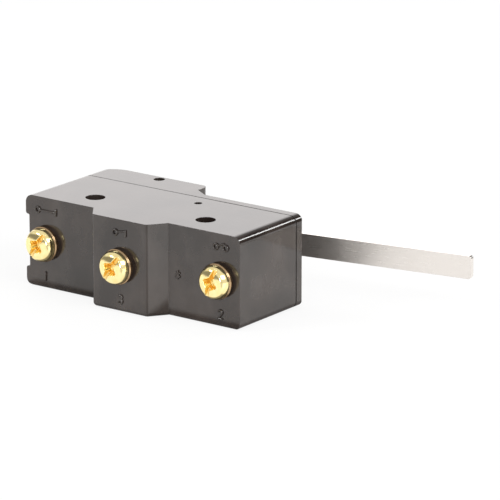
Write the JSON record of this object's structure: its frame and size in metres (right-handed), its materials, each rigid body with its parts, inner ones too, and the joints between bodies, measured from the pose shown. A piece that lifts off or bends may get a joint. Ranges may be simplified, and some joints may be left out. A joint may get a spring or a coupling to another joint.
{
  "type": "oven door switch",
  "caption": "Snap-action switch in a dark stepped moulded body with brass screw terminals, two through holes and a long flat hinged metal lever.",
  "frame": {"origin": "midway between the two mounting holes, on the side face that the switch lies on", "axes": "+X along the body towards the lever's tip, +Y from the terminals towards the lever, +Z through the thickness along the mounting holes"},
  "size_m": [0.0765, 0.0407, 0.0174],
  "materials": {
    "body_moulding": "smooth dark brown-black moulding",
    "plunger_moulding": "smooth moulding",
    "lever_steel": "brushed along its length",
    "steel_pin": "turned",
    "spring_strip": "rolled spring strip",
    "terminal_strip": "rolled strip",
    "screw_plate": "bright plated",
    "contact_metal": "silver"
  },
  "bodies": {
    "body": {"housing": "body_moulding", "cover": "body_moulding", "lever_pin": "steel_pin", "cover_pins": "steel_pin", "com_terminal": "terminal_strip", "nc_terminal": "terminal_strip", "no_terminal": "terminal_strip", "nc_contact": "contact_metal", "no_contact": "contact_metal", "com_insert": "terminal_strip", "nc_insert": "terminal_strip", "no_insert": "terminal_strip", "com_washer": "screw_plate", "nc_washer": "screw_plate", "no_washer": "screw_plate", "com_screw": "screw_plate", "nc_screw": "screw_plate", "no_screw": "screw_plate"},
    "lever": {"lever": "lever_steel"},
    "plunger": {"plunger": "plunger_moulding"},
    "blade": {"snap_blade": "spring_strip", "moving_contact": "contact_metal"}
  },
  "joints": [
    {"name": "lever_hinge", "type": "hinge", "parent": "body", "child": "lever", "pos_m": [-0.011, 0.017, 0.00873], "axis": [0, 0, 1], "range_deg": [-13.5, 0], "stiffness_Nm_per_rad": 0.06, "springref_deg": 11.46},
    {"name": "plunger_slide", "type": "slide", "parent": "body", "child": "plunger", "axis": [0, -1, 0], "range_m": [0, 0.000615]},
    {"name": "blade_turn", "type": "hinge", "parent": "body", "child": "blade", "pos_m": [-0.0215, 0.007, 0.00873], "axis": [0, 0, 1], "range_deg": [-2.7, 0]}
  ],
  "couplings": [
    {"joint": "plunger_slide", "follows": "lever_hinge", "m_per_rad": -0.002581},
    {"joint": "blade_turn", "follows": "lever_hinge", "ratio": 0.19697}
  ]
}
